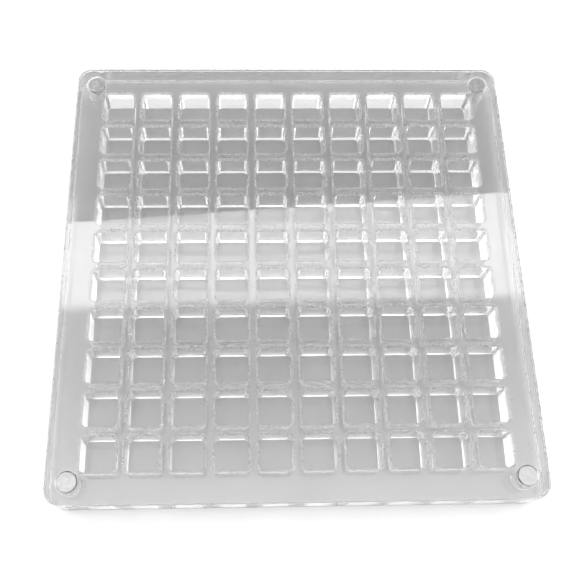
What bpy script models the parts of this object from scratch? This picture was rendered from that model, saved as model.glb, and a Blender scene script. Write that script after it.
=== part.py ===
"""A clear acrylic storage box: a ten by ten grid of open pockets under a lift-off lid held by magnets.

Three laser-cut sheets are stacked: a thin bottom plate, a thick grid plate with a hole cut through it
for each pocket, and a thin lid plate. The grid plate is modelled as a left and a right half, which keeps
each half simple enough to split into collision pieces with every pocket open. Disc magnets sit in round
holes at the corners, one set flush with the top of the lid and a facing set flush with the top of the
grid plate.
The box stands on Z = 0, centred on the Z axis, with its front edge towards -Y.
"""

import math

import bmesh
import bpy

# Driving dimensions, in metres.
BOX_SIDE = 0.250
BOX_CORNER_RADIUS = 0.008
BOTTOM_THICKNESS = 0.003
GRID_THICKNESS = 0.017
LID_THICKNESS = 0.003
POCKETS_PER_SIDE = 10
POCKET_SIDE = 0.0173
WALL_THICKNESS = 0.005
POCKET_CORNER_RADIUS = 0.0015
MAGNET_RADIUS = 0.005
MAGNET_THICKNESS = 0.003
MAGNET_CHAMFER = 0.0003
MAGNET_EDGE_DISTANCE = 0.0110
GAP = 0.0003  # left between pieces that touch

# Roundness of the outlines.
BOX_CORNER_SEGMENTS = 8
POCKET_CORNER_SEGMENTS = 1
ROUND_SEGMENTS = 28

# Heights, from the table up.
GRID_BOTTOM = BOTTOM_THICKNESS + GAP
GRID_TOP = GRID_BOTTOM + GRID_THICKNESS
LID_BOTTOM = GRID_TOP + GAP
POCKET_PITCH = POCKET_SIDE + WALL_THICKNESS
MAGNET_OFFSET = BOX_SIDE / 2 - MAGNET_EDGE_DISTANCE

# The corners of the box, as the signs of X and Y, with the name of each.
CORNERS = {
    "front_left": (-1, -1),
    "front_right": (1, -1),
    "rear_left": (-1, 1),
    "rear_right": (1, 1),
}


def clear_scene():
    """Remove every object, so that only the box is left in the scene."""
    for obj in list(bpy.data.objects):
        bpy.data.objects.remove(obj, do_unlink=True)


def make_material(name, colour, roughness, metallic, transmission=0.0):
    """A Principled material; transmission above 0 makes it clear like acrylic sheet."""
    material = bpy.data.materials.new(name)
    material.use_nodes = True
    shader = material.node_tree.nodes["Principled BSDF"]
    shader.inputs["Base Color"].default_value = (*colour, 1.0)
    shader.inputs["Roughness"].default_value = roughness
    shader.inputs["Metallic"].default_value = metallic
    shader.inputs["Transmission Weight"].default_value = transmission
    shader.inputs["IOR"].default_value = 1.49
    material.diffuse_color = (*colour, 1.0)
    return material


def rounded_square(centre_x, centre_y, side, radius, segments):
    """Points round a square with rounded corners, counter-clockwise."""
    reach = side / 2 - radius
    points = []
    for quarter, (sign_x, sign_y) in enumerate([(1, 1), (-1, 1), (-1, -1), (1, -1)]):
        for step in range(segments + 1):
            angle = math.pi / 2 * (quarter + step / segments)
            points.append((
                centre_x + sign_x * reach + radius * math.cos(angle),
                centre_y + sign_y * reach + radius * math.sin(angle),
            ))
    return points


def half_edge(sign_x):
    """Points round the left half (-1) or the right half (1) of the box, cut along its middle."""
    edge = rounded_square(0, 0, BOX_SIDE, BOX_CORNER_RADIUS, BOX_CORNER_SEGMENTS)
    half = [(-sign_x * x, y) for x, y in edge if x < 0]
    cut = sign_x * GAP / 2
    return half + [(cut, -BOX_SIDE / 2), (cut, BOX_SIDE / 2)]


def circle(centre_x, centre_y, radius):
    """Points round a circle, counter-clockwise."""
    angles = [2 * math.pi * step / ROUND_SEGMENTS for step in range(ROUND_SEGMENTS)]
    return [(centre_x + radius * math.cos(a), centre_y + radius * math.sin(a)) for a in angles]


def add_loop(mesh, points, height):
    """Add a closed loop of edges to the mesh at this height, and return the edges."""
    corners = [mesh.verts.new((x, y, height)) for x, y in points]
    followers = corners[1:] + corners[:1]
    return [mesh.edges.new(pair) for pair in zip(corners, followers)]


def cut_sheet(name, bottom, thickness, outlines, material):
    """A flat sheet whose first outline is its edge, and whose other outlines are holes cut through it."""
    sheet = bmesh.new()
    edges = []
    for points in outlines:
        edges += add_loop(sheet, points, bottom)
    bmesh.ops.triangle_fill(sheet, use_beauty=True, edges=edges, normal=(0, 0, 1))
    raised = bmesh.ops.extrude_face_region(sheet, geom=sheet.faces[:])
    lifted = [item for item in raised["geom"] if isinstance(item, bmesh.types.BMVert)]
    bmesh.ops.translate(sheet, vec=(0, 0, thickness), verts=lifted)
    bmesh.ops.recalc_face_normals(sheet, faces=sheet.faces[:])
    return finish_mesh(name, sheet, material)


def finish_mesh(name, shape, material):
    """Turn a bmesh into an object with its material, smooth where it is round."""
    mesh = bpy.data.meshes.new(name)
    shape.to_mesh(mesh)
    shape.free()
    mesh.materials.append(material)
    mesh.shade_smooth()
    mesh.set_sharp_from_angle(angle=math.radians(30))
    obj = bpy.data.objects.new(name, mesh)
    bpy.context.collection.objects.link(obj)
    return obj


def make_magnet(name, x, y, bottom, material):
    """A disc magnet with a small chamfer on both rims, standing on the height given."""
    disc = bmesh.new()
    bmesh.ops.create_cone(
        disc,
        cap_ends=True,
        segments=ROUND_SEGMENTS,
        radius1=MAGNET_RADIUS,
        radius2=MAGNET_RADIUS,
        depth=MAGNET_THICKNESS,
    )
    magnet = finish_mesh(name, disc, material)
    magnet.location = (x, y, bottom + MAGNET_THICKNESS / 2)
    chamfer = magnet.modifiers.new("rim_chamfer", "BEVEL")
    chamfer.width = MAGNET_CHAMFER
    chamfer.segments = 1
    chamfer.limit_method = "ANGLE"
    chamfer.angle_limit = math.radians(60)
    return magnet


def magnet_places():
    """The corner name and the centre of each magnet."""
    for corner, (sign_x, sign_y) in CORNERS.items():
        yield corner, sign_x * MAGNET_OFFSET, sign_y * MAGNET_OFFSET


def pocket_centres():
    """The centre of each pocket, column by column."""
    middle = (POCKETS_PER_SIDE - 1) / 2
    for column in range(POCKETS_PER_SIDE):
        for row in range(POCKETS_PER_SIDE):
            yield (column - middle) * POCKET_PITCH, (row - middle) * POCKET_PITCH


def grid_cutouts(sign_x):
    """The outlines of the magnet holes and of the pockets on one side of the middle."""
    holes = [
        circle(x, y, MAGNET_RADIUS + GAP) for _, x, y in magnet_places() if x * sign_x > 0
    ]
    pockets = [
        rounded_square(x, y, POCKET_SIDE, POCKET_CORNER_RADIUS, POCKET_CORNER_SEGMENTS)
        for x, y in pocket_centres() if x * sign_x > 0
    ]
    return holes + pockets


def build_box():
    """Make the sheets and the magnets, and parent what lifts off to the lid's own empty."""
    edge = rounded_square(0, 0, BOX_SIDE, BOX_CORNER_RADIUS, BOX_CORNER_SEGMENTS)
    magnet_holes = [circle(x, y, MAGNET_RADIUS + GAP) for _, x, y in magnet_places()]
    acrylic = {
        name: make_material(name + "_acrylic", (0.93, 0.94, 0.95), 0.03, 0.0, transmission=1.0)
        for name in ("bottom_plate", "grid_plate_left", "grid_plate_right", "lid_plate")
    }
    nickel = make_material("magnet_nickel", (0.72, 0.72, 0.73), 0.22, 1.0)

    cut_sheet("bottom_plate", 0, BOTTOM_THICKNESS, [edge], acrylic["bottom_plate"])
    for name, sign_x in (("grid_plate_left", -1), ("grid_plate_right", 1)):
        outlines = [half_edge(sign_x)] + grid_cutouts(sign_x)
        cut_sheet(name, GRID_BOTTOM, GRID_THICKNESS, outlines, acrylic[name])
    lid = bpy.data.objects.new("lid", None)
    lid.location = (0, 0, LID_BOTTOM)
    bpy.context.collection.objects.link(lid)
    lid_plate = cut_sheet(
        "lid_plate", 0, LID_THICKNESS, [edge] + magnet_holes, acrylic["lid_plate"]
    )
    lid_plate.parent = lid
    for corner, x, y in magnet_places():
        lid_magnet = make_magnet("lid_magnet_" + corner, x, y, 0, nickel)
        lid_magnet.parent = lid
        make_magnet("grid_magnet_" + corner, x, y, GRID_TOP - MAGNET_THICKNESS, nickel)


clear_scene()
build_box()
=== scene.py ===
"""The looks of the clear compartment box: acrylic sheets, magnets, floor, light and camera."""

import math

import bmesh
import bpy
from mathutils import Matrix, Vector


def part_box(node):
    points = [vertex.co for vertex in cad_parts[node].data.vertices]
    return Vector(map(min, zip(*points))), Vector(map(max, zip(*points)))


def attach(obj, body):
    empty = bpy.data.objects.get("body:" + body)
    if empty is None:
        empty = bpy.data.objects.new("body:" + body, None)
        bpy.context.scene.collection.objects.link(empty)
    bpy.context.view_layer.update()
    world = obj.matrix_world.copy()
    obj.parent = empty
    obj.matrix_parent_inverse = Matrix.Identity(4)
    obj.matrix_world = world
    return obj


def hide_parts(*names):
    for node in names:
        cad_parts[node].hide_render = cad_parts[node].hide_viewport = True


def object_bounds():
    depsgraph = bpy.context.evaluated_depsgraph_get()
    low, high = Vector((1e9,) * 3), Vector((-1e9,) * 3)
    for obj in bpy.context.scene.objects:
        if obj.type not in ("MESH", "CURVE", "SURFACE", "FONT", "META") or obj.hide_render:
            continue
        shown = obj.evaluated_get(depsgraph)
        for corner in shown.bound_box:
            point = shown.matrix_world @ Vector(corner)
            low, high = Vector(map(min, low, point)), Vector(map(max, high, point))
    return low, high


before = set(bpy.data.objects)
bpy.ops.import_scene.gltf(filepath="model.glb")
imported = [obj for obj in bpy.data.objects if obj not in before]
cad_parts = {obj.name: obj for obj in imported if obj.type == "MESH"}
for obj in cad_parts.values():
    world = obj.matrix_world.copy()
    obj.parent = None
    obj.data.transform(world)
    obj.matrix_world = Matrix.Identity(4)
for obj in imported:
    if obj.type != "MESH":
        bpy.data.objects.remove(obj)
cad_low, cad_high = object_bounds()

# Shapes that the frame doesn't state, in metres.
POCKETS_PER_SIDE = 10
POCKET_SIDE = 0.0173
WALL_THICKNESS = 0.005
POCKET_CORNER_RADIUS = 0.0020
BOX_CORNER_RADIUS = 0.008
MAGNET_CLEARANCE = 0.0003
POCKET_PITCH = POCKET_SIDE + WALL_THICKNESS
CORNERS = ("front_left", "front_right", "rear_left", "rear_right")

# Radii of the polished edges, in metres.
BOX_EDGE_ROUND = 0.0004
POCKET_MOUTH_ROUND = 0.0013
POCKET_FOOT_ROUND = 0.0005
HOLE_ROUND = 0.0005
MAGNET_EDGE_ROUND = 0.0005
SHARP_ANGLE = 10.0  # degrees: the discs' flat faces stay flat beside their rounds

# How clear the eased rims are: the rest of their light scatters.
RIM_CLARITY = 0.84

# Material slots of a sheet.
FACE, WALL, RIM = 0, 1, 2

# The camera: its place in metres, its turns in degrees, its lens and sensor in millimetres.
CAMERA_PLACE = (-0.02536, -0.16788, 0.45932)
CAMERA_PITCH, CAMERA_YAW, CAMERA_ROLL = 66.533, -4.513, 3.855
CAMERA_LENS, SENSOR_WIDTH = 53.54, 36.0
CAMERA_SHIFT = (0.0254, -0.1042)

ACRYLIC_IOR = 1.49
FLOOR_HALF_SIDE = 3.0
FLOOR_GAP = 0.0002  # the floor lies this far under the box

# How many times each pattern repeats in a metre.
CLOUDS_PER_METRE = 45.0
WAVES_PER_METRE = 70.0
SMEARS_PER_METRE = 28.0
SCRATCHES_PER_METRE = 2600.0
SPECKS_PER_METRE = 210.0
LASER_LINES_PER_METRE = 1100.0
RIM_GRAIN_PER_METRE = 500.0
WEAR_PER_METRE = 420.0
TURNED_LINES_PER_METRE = 5200.0
FLOOR_GRAIN_PER_METRE = 350.0

# Depth of each relief, in metres.
WAVE_DEPTH = 0.00001
LASER_LINE_DEPTH = 0.00004
RIM_GRAIN_DEPTH = 0.00001
TURNED_LINE_DEPTH = 0.000006
FLOOR_GRAIN_DEPTH = 0.00005

# How far a pattern is squeezed along one axis, which draws it out into lines.
SCRATCH_STRETCH = (0.12, 1.0, 1.0)
LASER_LINE_STRETCH = (1.0, 1.0, 0.04)
TURNED_LINE_STRETCH = (0.15, 1.0, 1.0)

# Roughness that a scratch and a smear add, and how much of its clearness a dust speck takes.
SCRATCH_ROUGHNESS = 0.12
SMEAR_ROUGHNESS = 0.018
DUST_HAZE = 0.55

# Segments along each quarter turn.
BOX_CORNER_SEGMENTS = 16
POCKET_CORNER_SEGMENTS = 6
EDGE_SEGMENTS = 4
ROUND_SEGMENTS = 64


# ---------------------------------------------------------------- camera

def place_camera():
    """A view from above the front edge, turned and rolled a little."""
    camera = bpy.data.cameras.new("camera")
    camera.sensor_width = SENSOR_WIDTH
    camera.lens = CAMERA_LENS
    camera.shift_x, camera.shift_y = CAMERA_SHIFT
    camera.clip_start = 0.01
    camera.clip_end = 50.0
    camera.dof.use_dof = False
    holder = bpy.data.objects.new("camera", camera)
    bpy.context.scene.collection.objects.link(holder)
    holder.location = CAMERA_PLACE
    pitch, yaw, roll = (math.radians(turn) for turn in (CAMERA_PITCH, CAMERA_YAW, CAMERA_ROLL))
    look = Matrix.Rotation(yaw, 4, "Z") @ Matrix.Rotation(math.pi / 2 - pitch, 4, "X")
    holder.rotation_euler = (look @ Matrix.Rotation(roll, 4, "Z")).to_euler()
    bpy.context.scene.camera = holder


# ---------------------------------------------------------------- nodes

def add_node(tree, kind, inputs=None, **settings):
    """A node with its settings, and its inputs set to values or linked from sockets."""
    node = tree.nodes.new(kind)
    for name, value in settings.items():
        setattr(node, name, value)
    for key, value in (inputs or {}).items():
        if isinstance(value, bpy.types.NodeSocket):
            tree.links.new(value, node.inputs[key])
        else:
            node.inputs[key].default_value = value
    return node


def calculate(tree, operation, *values):
    return add_node(tree, "ShaderNodeMath", dict(enumerate(values)), operation=operation).outputs[0]


def ramp(tree, value, start, end, low=0.0, high=1.0):
    """A smooth step from low at start to high at end."""
    inputs = {"Value": value, "From Min": start, "From Max": end, "To Min": low, "To Max": high}
    return add_node(tree, "ShaderNodeMapRange", inputs, interpolation_type="SMOOTHSTEP").outputs[0]


# ---------------------------------------------------------------- materials

def new_material(name):
    material = bpy.data.materials.new(name)
    material.use_nodes = True
    return material, material.node_tree, material.node_tree.nodes["Principled BSDF"]


def surface_place(tree, stretch=(1.0, 1.0, 1.0)):
    """The place on the piece in metres, multiplied by stretch."""
    place = add_node(tree, "ShaderNodeTexCoord").outputs["Object"]
    return add_node(tree, "ShaderNodeVectorMath", {0: place, 1: stretch}, operation="MULTIPLY").outputs[0]


def noise(tree, place, per_metre, detail=2.0):
    inputs = {"Vector": place, "Scale": per_metre, "Detail": detail}
    return add_node(tree, "ShaderNodeTexNoise", inputs).outputs["Fac"]


def set_bump(tree, shader, height, distance):
    """Relief with its depth in metres."""
    bump = add_node(tree, "ShaderNodeBump", {"Strength": 1.0, "Distance": distance, "Height": height})
    tree.links.new(bump.outputs["Normal"], shader.inputs["Normal"])


def set_grey(tree, shader, grey):
    """A neutral colour as bright as this value."""
    colour = add_node(tree, "ShaderNodeCombineColor", {"Red": grey, "Green": grey, "Blue": grey}).outputs[0]
    tree.links.new(colour, shader.inputs["Base Color"])


def cloudy_tint(tree, shader, place, low, high):
    """A faint cloudiness in a neutral colour."""
    set_grey(tree, shader, ramp(tree, noise(tree, place, CLOUDS_PER_METRE), 0.3, 0.7, low, high))


def make_clear(shader, clarity=1.0):
    """Acrylic; a clarity under 1 leaves part of the surface hazy."""
    shader.inputs["IOR"].default_value = ACRYLIC_IOR
    shader.inputs["Transmission Weight"].default_value = clarity


def polished_acrylic():
    """The flat faces: clear cast sheet with faint waves, hairline scratches, smears and a little dust."""
    material, tree, shader = new_material("clear_acrylic")
    make_clear(shader)
    place = surface_place(tree)
    cloudy_tint(tree, shader, place, 0.985, 1.0)
    drawn_out = surface_place(tree, SCRATCH_STRETCH)
    scratches = ramp(tree, noise(tree, drawn_out, SCRATCHES_PER_METRE, 0.0), 0.80, 0.86)
    smears = ramp(tree, noise(tree, place, SMEARS_PER_METRE), 0.52, 0.72, 0.0, SMEAR_ROUGHNESS)
    rough = calculate(tree, "MULTIPLY_ADD", scratches, SCRATCH_ROUGHNESS, smears)
    tree.links.new(rough, shader.inputs["Roughness"])
    specks = add_node(tree, "ShaderNodeTexVoronoi", {"Vector": place, "Scale": SPECKS_PER_METRE})
    chosen = ramp(tree, specks.outputs["Color"], 0.78, 0.80)
    dust = calculate(tree, "MULTIPLY", ramp(tree, specks.outputs["Distance"], 0.075, 0.03), chosen)
    clear = calculate(tree, "MULTIPLY_ADD", dust, -DUST_HAZE, 1.0)
    tree.links.new(clear, shader.inputs["Transmission Weight"])
    set_bump(tree, shader, noise(tree, place, WAVES_PER_METRE, 1.0), WAVE_DEPTH)
    return material


def laser_cut_acrylic():
    """The cut walls: clear, with the fine upright lines that the laser leaves."""
    material, tree, shader = new_material("cut_acrylic_edge")
    make_clear(shader)
    cloudy_tint(tree, shader, surface_place(tree), 0.97, 1.0)
    lines = noise(tree, surface_place(tree, LASER_LINE_STRETCH), LASER_LINES_PER_METRE)
    tree.links.new(ramp(tree, lines, 0.35, 0.75, 0.0, 0.09), shader.inputs["Roughness"])
    set_bump(tree, shader, lines, LASER_LINE_DEPTH)
    return material


def eased_acrylic():
    """The rounded rims of the cuts: a softer, slightly frosted finish."""
    material, tree, shader = new_material("eased_acrylic_rim")
    make_clear(shader, RIM_CLARITY)
    place = surface_place(tree)
    cloudy_tint(tree, shader, place, 0.97, 1.0)
    grain = noise(tree, place, RIM_GRAIN_PER_METRE)
    tree.links.new(ramp(tree, grain, 0.3, 0.7, 0.2, 0.42), shader.inputs["Roughness"])
    set_bump(tree, shader, grain, RIM_GRAIN_DEPTH)
    return material


def nickel_material():
    """Nickel plating: bright, with fine turned lines and rubbed patches."""
    material, tree, shader = new_material("satin_nickel")
    shader.inputs["Metallic"].default_value = 1.0
    place = surface_place(tree)
    wear = noise(tree, place, WEAR_PER_METRE, 3.0)
    set_grey(tree, shader, ramp(tree, wear, 0.3, 0.7, 0.35, 0.41))
    tree.links.new(ramp(tree, wear, 0.25, 0.75, 0.14, 0.3), shader.inputs["Roughness"])
    turned = noise(tree, surface_place(tree, TURNED_LINE_STRETCH), TURNED_LINES_PER_METRE)
    set_bump(tree, shader, turned, TURNED_LINE_DEPTH)
    return material


def floor_material():
    material, tree, shader = new_material("pale_floor")
    place = surface_place(tree)
    grain = noise(tree, place, FLOOR_GRAIN_PER_METRE)
    cloudy_tint(tree, shader, place, 0.85, 0.87)
    tree.links.new(ramp(tree, grain, 0.3, 0.7, 0.55, 0.7), shader.inputs["Roughness"])
    set_bump(tree, shader, grain, FLOOR_GRAIN_DEPTH)
    return material


# ---------------------------------------------------------------- shapes

def rounded_square(centre_x, centre_y, side, radius, segments):
    """Points round a square with rounded corners, counter-clockwise, and the way that each faces."""
    reach = side / 2 - radius
    points = []
    for quarter, (sign_x, sign_y) in enumerate([(1, 1), (-1, 1), (-1, -1), (1, -1)]):
        for step in range(segments + 1):
            angle = math.pi / 2 * (quarter + step / segments)
            facing = Vector((math.cos(angle), math.sin(angle)))
            corner = Vector((centre_x + sign_x * reach, centre_y + sign_y * reach))
            points.append((corner + radius * facing, facing))
    return points


def circle(centre_x, centre_y, radius):
    angles = [2 * math.pi * step / ROUND_SEGMENTS for step in range(ROUND_SEGMENTS)]
    facings = [Vector((math.cos(angle), math.sin(angle))) for angle in angles]
    return [(Vector((centre_x, centre_y)) + radius * facing, facing) for facing in facings]


def edge_profile(bottom, top, bottom_round, top_round):
    """(height, inset, upward part of the normal) up a wall that is rounded at both ends."""
    quarter = [math.pi / 2 * step / EDGE_SEGMENTS for step in range(EDGE_SEGMENTS + 1)]
    lower = [(bottom + bottom_round * (1 - math.cos(a)), bottom_round * (1 - math.sin(a)), -math.cos(a))
             for a in quarter]
    upper = [(top - top_round * (1 - math.sin(a)), top_round * (1 - math.cos(a)), math.sin(a))
             for a in quarter]
    return lower + upper


def cut_sheet(name, bottom, top, outlines):
    """A sheet with polished round edges.

    outlines holds (outline, bottom round, top round), the sheet's own edge first and then its holes;
    an outline is a function from how far it grows to its points. Every normal is exact, so flat faces
    stay optically flat and the rounds stay smooth.
    """
    shape = bmesh.new()
    normals = []
    rims = {"bottom": [], "top": []}
    for number, (outline, bottom_round, top_round) in enumerate(outlines):
        hole = number > 0
        profile = edge_profile(bottom, top, bottom_round, top_round)
        loops = []
        for height, inset, upward in profile:
            sideways = math.sqrt(max(0.0, 1.0 - upward * upward)) * (-1 if hole else 1)
            corners = []
            for point, facing in outline(inset if hole else -inset):
                corners.append(shape.verts.new((*point, height)))
                normals.append((*(sideways * facing), upward))
            loops.append(corners)
        for level, (lower, upper) in enumerate(zip(loops, loops[1:])):
            for step, corner in enumerate(lower):
                after = (step + 1) % len(lower)
                face = shape.faces.new((corner, lower[after], upper[after], upper[step]))
                face.material_index = WALL if level == EDGE_SEGMENTS else RIM
        rims["bottom"].append(loops[0])
        rims["top"].append(loops[-1])
    for rim, upward in (("bottom", -1), ("top", 1)):
        edges = [shape.edges.get(pair) for loop in rims[rim] for pair in zip(loop, loop[1:] + loop[:1])]
        bmesh.ops.triangle_fill(shape, use_beauty=True, edges=edges, normal=(0, 0, upward))
    bmesh.ops.recalc_face_normals(shape, faces=shape.faces[:])
    piece = finish_mesh(name, shape)
    piece.data.normals_split_custom_set_from_vertices(normals)
    return piece


def finish_mesh(name, shape):
    mesh = bpy.data.meshes.new(name)
    shape.to_mesh(mesh)
    shape.free()
    mesh.shade_smooth()
    piece = bpy.data.objects.new(name, mesh)
    bpy.context.scene.collection.objects.link(piece)
    return piece


def box_outline():
    side = cad_high.x - cad_low.x
    def outline(grow):
        return rounded_square(0, 0, side + 2 * grow, BOX_CORNER_RADIUS + grow, BOX_CORNER_SEGMENTS)
    return outline, BOX_EDGE_ROUND, BOX_EDGE_ROUND


def magnet_hole(corner):
    low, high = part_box("lid_magnet_" + corner)
    centre = (low + high) / 2
    radius = (high.x - low.x) / 2 + MAGNET_CLEARANCE
    return lambda grow: circle(centre.x, centre.y, radius + grow), HOLE_ROUND, HOLE_ROUND


def pocket(x, y):
    def outline(grow):
        side = POCKET_SIDE + 2 * grow
        return rounded_square(x, y, side, POCKET_CORNER_RADIUS + grow, POCKET_CORNER_SEGMENTS)
    return outline, POCKET_FOOT_ROUND, POCKET_MOUTH_ROUND


def pockets():
    middle = (POCKETS_PER_SIDE - 1) / 2
    places = [(step - middle) * POCKET_PITCH for step in range(POCKETS_PER_SIDE)]
    return [pocket(x, y) for x in places for y in places]


def heights(node):
    low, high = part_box(node)
    return low.z, high.z


# ---------------------------------------------------------------- pieces

def make_sheets():
    finishes = polished_acrylic(), laser_cut_acrylic(), eased_acrylic()
    holes = [magnet_hole(corner) for corner in CORNERS]
    grid_halves = ("grid_plate_left", "grid_plate_right")
    for name, nodes, body, outlines in (
        ("bottom_sheet", ("bottom_plate",), "tray", [box_outline()]),
        ("pocket_grid", grid_halves, "tray", [box_outline()] + holes + pockets()),
        ("lid_sheet", ("lid_plate",), "lid", [box_outline()] + holes),
    ):
        piece = cut_sheet(name, *heights(nodes[0]), outlines)
        for finish in finishes:
            piece.data.materials.append(finish)
        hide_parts(*nodes)
        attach(piece, body)


def turned_disc(name, low, high):
    """A disc magnet with rounded edges that fills this box."""
    shape = bmesh.new()
    centre = (low + high) / 2
    radius = (high.x - low.x) / 2
    loops = []
    for height, inset, upward in edge_profile(low.z, high.z, MAGNET_EDGE_ROUND, MAGNET_EDGE_ROUND):
        outline = circle(centre.x, centre.y, radius - inset)
        loops.append([shape.verts.new((*point, height)) for point, _ in outline])
    for lower, upper in zip(loops, loops[1:]):
        for step, corner in enumerate(lower):
            after = (step + 1) % len(lower)
            shape.faces.new((corner, lower[after], upper[after], upper[step]))
    shape.faces.new(loops[0][::-1])
    shape.faces.new(loops[-1])
    piece = finish_mesh(name, shape)
    piece.data.set_sharp_from_angle(angle=math.radians(SHARP_ANGLE))
    return piece


def make_magnets():
    nickel = nickel_material()
    for corner in CORNERS:
        for layer, body in (("lid", "lid"), ("grid", "tray")):
            node = f"{layer}_magnet_{corner}"
            piece = turned_disc(f"{layer}_disc_{corner}", *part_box(node))
            piece.data.materials.append(nickel)
            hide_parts(node)
            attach(piece, body)


# ---------------------------------------------------------------- stage and light

def make_stage():
    shape = bmesh.new()
    bmesh.ops.create_grid(shape, x_segments=1, y_segments=1, size=FLOOR_HALF_SIDE)
    floor = finish_mesh("floor", shape)
    floor.location.z = -FLOOR_GAP
    floor.data.materials.append(floor_material())


# Where the studio's ceiling shows in the lid, in metres on the lid's top: the two edges of the long softbox.
BAND_FAR = (Vector((-0.117, 0.0247)), Vector((0.122, 0.0419)))
BAND_NEAR = (Vector((-0.121, -0.0250)), Vector((0.1226, -0.0200)))
SOFT_FAR, SOFT_NEAR = 0.004, 0.020

# Where the ceiling's parts fade into each other, as rearward or sideways distance for a unit of height.
DIM_REAR_START, DIM_REAR_END = (0.06, 0.29), (7.0, 3.0)
DIM_LEFT_EDGE, DIM_RIGHT_EDGE = (-0.45, -0.17), (2.5, 0.8)
DIM_FRONT_TO_REAR = (0.34, 0.46)
BEHIND_EDGE = (-0.15, -0.7)
LOWEST_HEIGHT = 0.02  # directions under this height count as this high

# How many times light may pass on through the clear sheets, or bounce off them.
PASSES, REFLECTIONS = 24, 12

# Radiance of the parts of the ceiling.
WALLS_LEVEL = 2.2
BEHIND_LEVEL = 1.0
DIM_REAR_LEVEL = 0.9
DIM_FRONT_LEVEL = 1.4
BAND_LEVEL = 3.3


def ceiling_place(point):
    """The ceiling seen in the lid at this point, as sideways and rearward distance for a unit of height."""
    eye = bpy.context.scene.camera.location
    return (point - eye.xy) / (eye.z - cad_high.z)


def beyond_line(tree, side, rear, line):
    """How far a ceiling place lies behind a line that is given on the lid."""
    start, end = (ceiling_place(point) for point in line)
    slope = (end.y - start.y) / (end.x - start.x)
    offset = calculate(tree, "MULTIPLY_ADD", side, slope, start.y - slope * start.x)
    return calculate(tree, "SUBTRACT", rear, offset)


def make_light():
    """A white studio: pale walls and ceiling, one long softbox, and a dimmer ceiling round it."""
    world = bpy.data.worlds.new("studio")
    world.use_nodes = True
    tree = world.node_tree
    place = add_node(tree, "ShaderNodeTexCoord").outputs["Generated"]
    x, y, z = add_node(tree, "ShaderNodeSeparateXYZ", {0: place}).outputs
    height = calculate(tree, "MAXIMUM", z, LOWEST_HEIGHT)
    side = calculate(tree, "DIVIDE", x, height)
    rear = calculate(tree, "DIVIDE", y, height)

    dim = calculate(tree, "MULTIPLY", ramp(tree, rear, *DIM_REAR_START), ramp(tree, rear, *DIM_REAR_END))
    dim = calculate(tree, "MULTIPLY", dim, ramp(tree, side, *DIM_LEFT_EDGE))
    dim = calculate(tree, "MULTIPLY", dim, ramp(tree, side, *DIM_RIGHT_EDGE))
    dim_level = ramp(tree, rear, *DIM_FRONT_TO_REAR, DIM_FRONT_LEVEL, DIM_REAR_LEVEL)
    fall = calculate(tree, "SUBTRACT", dim_level, WALLS_LEVEL)
    level = calculate(tree, "MULTIPLY_ADD", dim, fall, WALLS_LEVEL)

    behind = calculate(tree, "SUBTRACT", BEHIND_LEVEL, level)
    level = calculate(tree, "MULTIPLY_ADD", ramp(tree, rear, *BEHIND_EDGE), behind, level)

    far = beyond_line(tree, side, rear, BAND_FAR)
    near = beyond_line(tree, side, rear, BAND_NEAR)
    band = calculate(
        tree, "MULTIPLY",
        ramp(tree, far, SOFT_FAR / 2, -SOFT_FAR / 2),
        ramp(tree, near, -SOFT_NEAR / 2, SOFT_NEAR / 2),
    )
    lift = calculate(tree, "SUBTRACT", BAND_LEVEL, level)
    strength = calculate(tree, "MULTIPLY_ADD", band, lift, level)
    tree.links.new(strength, tree.nodes["Background"].inputs["Strength"])
    tree.nodes["Background"].inputs["Color"].default_value = (1, 1, 1, 1)
    scene = bpy.context.scene
    scene.world = world
    scene.view_settings.view_transform = "Standard"
    scene.cycles.max_bounces = PASSES
    scene.cycles.transmission_bounces = PASSES
    scene.cycles.glossy_bounces = REFLECTIONS


place_camera()
make_sheets()
make_magnets()
make_stage()
make_light()
